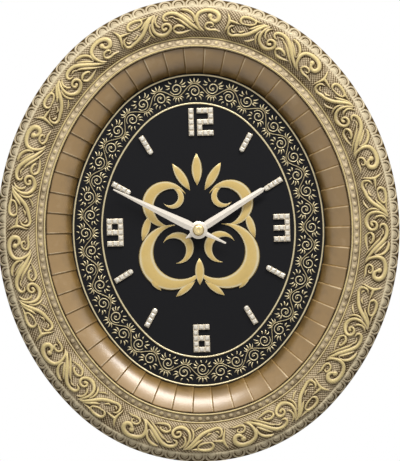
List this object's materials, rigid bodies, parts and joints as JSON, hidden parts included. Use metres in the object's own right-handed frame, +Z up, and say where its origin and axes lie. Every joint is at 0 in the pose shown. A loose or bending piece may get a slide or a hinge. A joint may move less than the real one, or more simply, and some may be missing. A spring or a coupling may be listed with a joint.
{
  "type": "wall clock",
  "caption": "Oval wall clock with a carved gilt frame, a fluted inner ring, a black dial with stone-set numerals and batons, two hands and a battery quartz movement behind.",
  "frame": {"origin": "on the hands' axis, in the plane of the wall that the back of the frame rests on", "axes": "+Z up, +X to the right as seen from the front, +Y into the wall; the dial faces -Y"},
  "size_m": [0.3302, 0.0509, 0.3801],
  "materials": {
    "frame_gilt": "antique gilt lacquer with dark patina over cast resin",
    "ring_bronze": "satin bronze-gold lacquer over moulded resin",
    "dial_black": "satin black",
    "gold_relief": "satin gold raised foil",
    "champagne_metal": "champagne plated, satin",
    "hand_metal": "brushed silver-champagne",
    "cap_gold": "polished",
    "crystal": "cut and foiled",
    "hardboard": "smooth pressed board",
    "zinc_steel": "zinc plated",
    "brass": "turned",
    "rubber": "matt",
    "movement_black": "fine spark-eroded texture",
    "gear_white": "moulded acetal",
    "battery_jacket": "plain printed sleeve",
    "circuit_green": "solder mask",
    "chip_black": "epoxy",
    "copper_wire": "enamelled winding",
    "motor_iron": "soft iron sheet",
    "magnet_grey": "sintered"
  },
  "bodies": {
    "case": {"outer_frame": "frame_gilt", "frame_scrolls": "frame_gilt", "frame_scallops": "frame_gilt", "frame_studs": "frame_gilt", "cove_ring": "ring_bronze", "dial_plate": "dial_black", "dial_outer_line": "gold_relief", "dial_inner_line": "gold_relief", "band_ornament": "gold_relief", "centre_ornament": "gold_relief", "numeral_twelve": "champagne_metal", "numeral_three": "champagne_metal", "numeral_six": "champagne_metal", "numeral_nine": "champagne_metal", "hour_batons": "champagne_metal", "numeral_stones": "crystal", "baton_stones": "crystal", "dial_board": "hardboard", "back_cover": "hardboard", "cove_ring_screws": "zinc_steel", "dial_screws": "zinc_steel", "back_cover_screws": "zinc_steel", "hanger_plate": "zinc_steel", "hanger_screws": "zinc_steel", "contact_plus": "zinc_steel", "contact_minus": "zinc_steel", "quartz_can": "zinc_steel", "centre_bush": "brass", "bush_nut": "brass", "bush_washer": "brass", "rubber_washer": "rubber", "movement_rear_case": "movement_black", "movement_front_case": "movement_black", "gear_plate": "gear_white", "battery": "battery_jacket", "circuit_board": "circuit_green", "control_chip": "chip_black", "coil": "copper_wire", "coil_core": "motor_iron", "stator": "motor_iron"},
    "minute_group": {"minute_arbor": "zinc_steel", "centre_wheel": "gear_white", "minute_hand": "hand_metal", "hand_cap": "cap_gold"},
    "hour_group": {"hour_wheel": "gear_white", "hour_hand": "hand_metal"},
    "setting_group": {"motion_wheel": "gear_white", "setting_knob": "movement_black"},
    "third_group": {"third_wheel": "gear_white"},
    "fourth_group": {"fourth_wheel": "gear_white"},
    "intermediate_group": {"intermediate_wheel": "gear_white"},
    "rotor_group": {"rotor": "gear_white", "rotor_magnet": "magnet_grey"}
  },
  "joints": [
    {"name": "minute_turn", "type": "hinge", "parent": "case", "child": "minute_group", "pos_m": [0, 0, 0], "axis": [0, 1, 0], "continuous": true},
    {"name": "hour_turn", "type": "hinge", "parent": "case", "child": "hour_group", "pos_m": [0, 0, 0], "axis": [0, 1, 0], "continuous": true},
    {"name": "setting_turn", "type": "hinge", "parent": "case", "child": "setting_group", "pos_m": [0.01088, 0, -0.00507], "axis": [0, 1, 0], "continuous": true},
    {"name": "third_turn", "type": "hinge", "parent": "case", "child": "third_group", "pos_m": [-0.01069, 0, -0.0015], "axis": [0, 1, 0], "continuous": true},
    {"name": "fourth_turn", "type": "hinge", "parent": "case", "child": "fourth_group", "pos_m": [-0.00857, 0, 0.00847], "axis": [0, 1, 0], "continuous": true},
    {"name": "intermediate_turn", "type": "hinge", "parent": "case", "child": "intermediate_group", "pos_m": [0.0017, 0, 0.01066], "axis": [0, 1, 0], "continuous": true},
    {"name": "rotor_turn", "type": "hinge", "parent": "case", "child": "rotor_group", "pos_m": [0.00887, 0, 0.01128], "axis": [0, 1, 0], "continuous": true}
  ],
  "couplings": [
    {"joint": "hour_turn", "follows": "minute_turn", "ratio": 0.083333},
    {"joint": "setting_turn", "follows": "minute_turn", "ratio": -0.33333},
    {"joint": "third_turn", "follows": "minute_turn", "ratio": -8},
    {"joint": "fourth_turn", "follows": "minute_turn", "ratio": 60},
    {"joint": "intermediate_turn", "follows": "minute_turn", "ratio": -360},
    {"joint": "rotor_turn", "follows": "minute_turn", "ratio": 1800}
  ]
}
